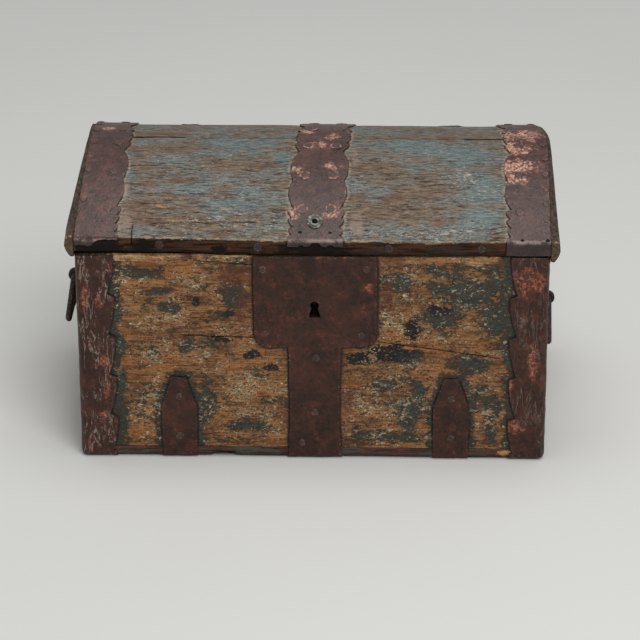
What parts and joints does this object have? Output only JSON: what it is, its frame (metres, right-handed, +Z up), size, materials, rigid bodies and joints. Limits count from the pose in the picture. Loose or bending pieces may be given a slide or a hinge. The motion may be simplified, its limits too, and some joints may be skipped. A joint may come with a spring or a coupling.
{
  "type": "iron-bound casket",
  "caption": "Iron-bound wooden casket with a low arched lid on strap hinges, drop handles on the ends, a pierced lock plate and a sliding-bolt box lock inside.",
  "frame": {"origin": "on the floor, at the centre of the casket's overall footprint with its handles and hinges", "axes": "+X along the length to the right of a person facing the lock, +Y from the front to the hinges, +Z up"},
  "size_m": [0.3634, 0.2096, 0.2161],
  "materials": {
    "box_wood": "worn paint over bare pine",
    "bottom_wood": "bare, rubbed pine",
    "lid_wood": "worn grey-green paint over brown pine",
    "lid_end_wood": "worn paint over bare pine",
    "box_iron": "rust-browned wrought sheet",
    "lid_iron": "rust-browned wrought sheet",
    "nail_iron": "rusted forged nails",
    "handle_iron": "rust-browned forged bar",
    "lock_iron": "rust-browned sheet and forged pieces",
    "washer_brass": "tarnished, green-white"
  },
  "bodies": {
    "casket": {"front_board": "box_wood", "back_board": "box_wood", "left_end_board": "box_wood", "right_end_board": "box_wood", "bottom_board": "bottom_wood", "corner_sprigs": "nail_iron", "bottom_sprigs": "nail_iron", "front_left_corner_iron": "box_iron", "front_right_corner_iron": "box_iron", "back_left_corner_iron": "box_iron", "back_right_corner_iron": "box_iron", "corner_iron_nails": "nail_iron", "lock_plate": "box_iron", "lock_plate_nails": "nail_iron", "left_front_tongue": "box_iron", "right_front_tongue": "box_iron", "tongue_nails": "nail_iron", "left_hinge_strap": "box_iron", "right_hinge_strap": "box_iron", "hinge_strap_nails": "nail_iron", "left_hinge_pin": "box_iron", "right_hinge_pin": "box_iron", "left_handle_eyes": "handle_iron", "right_handle_eyes": "handle_iron", "lock_case": "lock_iron", "lock_ear_nails": "lock_iron", "lock_key_pin": "lock_iron", "lock_ward_drum": "lock_iron", "lock_pillars": "lock_iron", "lock_spring": "lock_iron", "lock_bolt_guides": "lock_iron"},
    "lid": {"lid_front_board": "lid_wood", "lid_rear_board": "lid_wood", "left_lid_end": "lid_end_wood", "right_lid_end": "lid_end_wood", "left_lid_strap": "lid_iron", "centre_lid_strap": "lid_iron", "right_lid_strap": "lid_iron", "lid_strap_nails": "nail_iron", "left_lid_hinge_leaf": "lid_iron", "right_lid_hinge_leaf": "lid_iron", "hinge_leaf_nails": "nail_iron", "lid_edge_nails": "nail_iron", "lid_staple": "box_iron", "staple_washer": "washer_brass"},
    "bolt": {"lock_bolt": "lock_iron"},
    "left_bail": {"left_handle": "handle_iron"},
    "right_bail": {"right_handle": "handle_iron"}
  },
  "joints": [
    {"name": "lid_hinge", "type": "hinge", "parent": "casket", "child": "lid", "pos_m": [0.00318, 0.1008, 0.1625], "axis": [-1, 0, 0], "range_deg": [0, 108]},
    {"name": "bolt_slide", "type": "slide", "parent": "casket", "child": "bolt", "axis": [1, 0, 0], "range_m": [0, 0.009]},
    {"name": "left_bail_swing", "type": "hinge", "parent": "casket", "child": "left_bail", "pos_m": [-0.17432, -0.0032, 0.118], "axis": [0, 1, 0], "range_deg": [-15, 140]},
    {"name": "right_bail_swing", "type": "hinge", "parent": "casket", "child": "right_bail", "pos_m": [0.17678, 0.0088, 0.097], "axis": [0, -1, 0], "range_deg": [-3, 150]}
  ]
}
